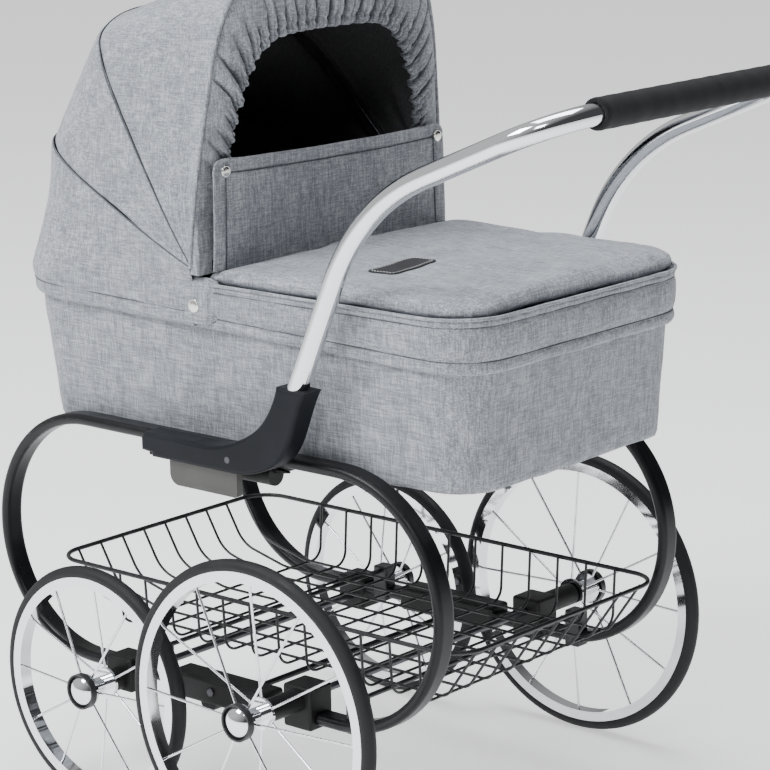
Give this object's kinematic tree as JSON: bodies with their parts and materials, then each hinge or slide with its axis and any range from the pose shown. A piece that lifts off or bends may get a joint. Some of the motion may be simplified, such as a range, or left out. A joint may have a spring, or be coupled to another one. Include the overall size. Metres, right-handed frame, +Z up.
{
  "type": "baby stroller",
  "caption": "Classic doll-size pram: chrome U handle, wire-spoked wheels on oval side loops, wire basket, fabric cot with padded cover and folding hood with a window flap.",
  "frame": {"origin": "centre of the overall box at floor level", "axes": "+X towards the person who pushes, +Y to the pram's right side seen in the travel direction, +Z up"},
  "size_m": [0.5898, 0.4436, 0.6556],
  "materials": {
    "black_tube": "satin",
    "black_wire": "satin",
    "steel": "satin",
    "black_plastic": "matte",
    "charcoal_plastic": "matte",
    "grey_plastic": "matte",
    "chrome": "polished",
    "foam": "foam",
    "tyre": "matte",
    "ring_rubber": "matte",
    "grey_fabric": "woven",
    "mattress_fabric": "woven",
    "board": "raw",
    "label": "woven"
  },
  "bodies": {
    "chassis": {"side_loop_left": "black_tube", "side_loop_right": "black_tube", "axles": "steel", "axle_blocks_front": "black_plastic", "axle_blocks_rear": "black_plastic", "axle_bushes": "black_plastic", "lower_sleeves": "black_plastic", "lower_crossbar": "steel", "sleeve_screws": "steel", "cot_mounts": "black_plastic", "cot_supports": "steel", "basket_rim": "black_wire", "basket_long_wires": "black_wire", "basket_cross_wires": "black_wire", "basket_bearers": "black_wire"},
    "handle": {"handle_tube": "chrome", "foam_grip": "foam", "handle_elbow_left": "charcoal_plastic", "handle_elbow_right": "charcoal_plastic", "handle_pins": "steel"},
    "release_left": {"release_plate_left": "grey_plastic"},
    "release_right": {"release_plate_right": "grey_plastic"},
    "cot": {"cot_tub": "grey_fabric", "base_board": "board", "mattress": "mattress_fabric", "cot_band": "grey_fabric", "cot_cover": "grey_fabric", "cover_label": "label", "hood_base_fabric": "grey_fabric", "hood_pivots": "steel", "snap_tabs": "grey_fabric", "tab_snaps": "chrome"},
    "hood_low": {"bow_low": "steel", "hood_middle_fabric": "grey_fabric"},
    "hood_middle": {"bow_middle": "steel", "hood_arch_fabric": "grey_fabric"},
    "hood_arch": {"bow_arch": "steel", "arch_panel": "grey_fabric"},
    "flap": {"window_flap": "grey_fabric", "flap_snaps": "chrome"},
    "wheel_front_left": {"tyre_front_left": "tyre", "rim_front_left": "chrome", "spokes_front_left": "chrome", "hub_front_left": "chrome", "cap_ring_front_left": "ring_rubber"},
    "wheel_front_right": {"tyre_front_right": "tyre", "rim_front_right": "chrome", "spokes_front_right": "chrome", "hub_front_right": "chrome", "cap_ring_front_right": "ring_rubber"},
    "wheel_rear_left": {"tyre_rear_left": "tyre", "rim_rear_left": "chrome", "spokes_rear_left": "chrome", "hub_rear_left": "chrome", "cap_ring_rear_left": "ring_rubber"},
    "wheel_rear_right": {"tyre_rear_right": "tyre", "rim_rear_right": "chrome", "spokes_rear_right": "chrome", "hub_rear_right": "chrome", "cap_ring_rear_right": "ring_rubber"}
  },
  "joints": [
    {"name": "handle_fold", "type": "hinge", "parent": "chassis", "child": "handle", "pos_m": [-0.0166, 0, 0.3011], "axis": [0, 1, 0], "range_deg": [0, 80]},
    {"name": "release_left_squeeze", "type": "hinge", "parent": "handle", "child": "release_left", "pos_m": [-0.0476, -0.155, 0.2906], "axis": [1, 0, 0], "range_deg": [0, 12], "stiffness_Nm_per_rad": 0.05, "springref_deg": -11.46},
    {"name": "release_right_squeeze", "type": "hinge", "parent": "handle", "child": "release_right", "pos_m": [-0.0476, 0.155, 0.2906], "axis": [-1, 0, 0], "range_deg": [0, 12], "stiffness_Nm_per_rad": 0.05, "springref_deg": -11.46},
    {"name": "cot_lift", "type": "slide", "parent": "chassis", "child": "cot", "axis": [0, 0, 1], "range_m": [0, 0.12]},
    {"name": "hood_fold", "type": "hinge", "parent": "cot", "child": "hood_low", "pos_m": [-0.0696, 0, 0.437], "axis": [0, -1, 0], "range_deg": [0, 16]},
    {"name": "hood_middle_fold", "type": "hinge", "parent": "hood_low", "child": "hood_middle", "pos_m": [-0.0696, 0, 0.437], "axis": [0, -1, 0], "range_deg": [0, 18]},
    {"name": "hood_arch_fold", "type": "hinge", "parent": "hood_middle", "child": "hood_arch", "pos_m": [-0.0696, 0, 0.437], "axis": [0, -1, 0], "range_deg": [0, 26]},
    {"name": "flap_open", "type": "hinge", "parent": "hood_arch", "child": "flap", "pos_m": [-0.0512, 0, 0.441], "axis": [0, 1, 0], "range_deg": [0, 80]},
    {"name": "wheel_front_left_roll", "type": "hinge", "parent": "chassis", "child": "wheel_front_left", "pos_m": [-0.1571, -0.1768, 0.0972], "axis": [0, 1, 0], "continuous": true},
    {"name": "wheel_front_right_roll", "type": "hinge", "parent": "chassis", "child": "wheel_front_right", "pos_m": [-0.1571, 0.1768, 0.0972], "axis": [0, 1, 0], "continuous": true},
    {"name": "wheel_rear_left_roll", "type": "hinge", "parent": "chassis", "child": "wheel_rear_left", "pos_m": [0.0339, -0.2005, 0.12], "axis": [0, 1, 0], "continuous": true},
    {"name": "wheel_rear_right_roll", "type": "hinge", "parent": "chassis", "child": "wheel_rear_right", "pos_m": [0.0339, 0.2005, 0.12], "axis": [0, 1, 0], "continuous": true}
  ],
  "couplings": [
    {"joint": "hood_middle_fold", "follows": "hood_fold", "ratio": 1.125},
    {"joint": "hood_arch_fold", "follows": "hood_fold", "ratio": 1.625}
  ]
}
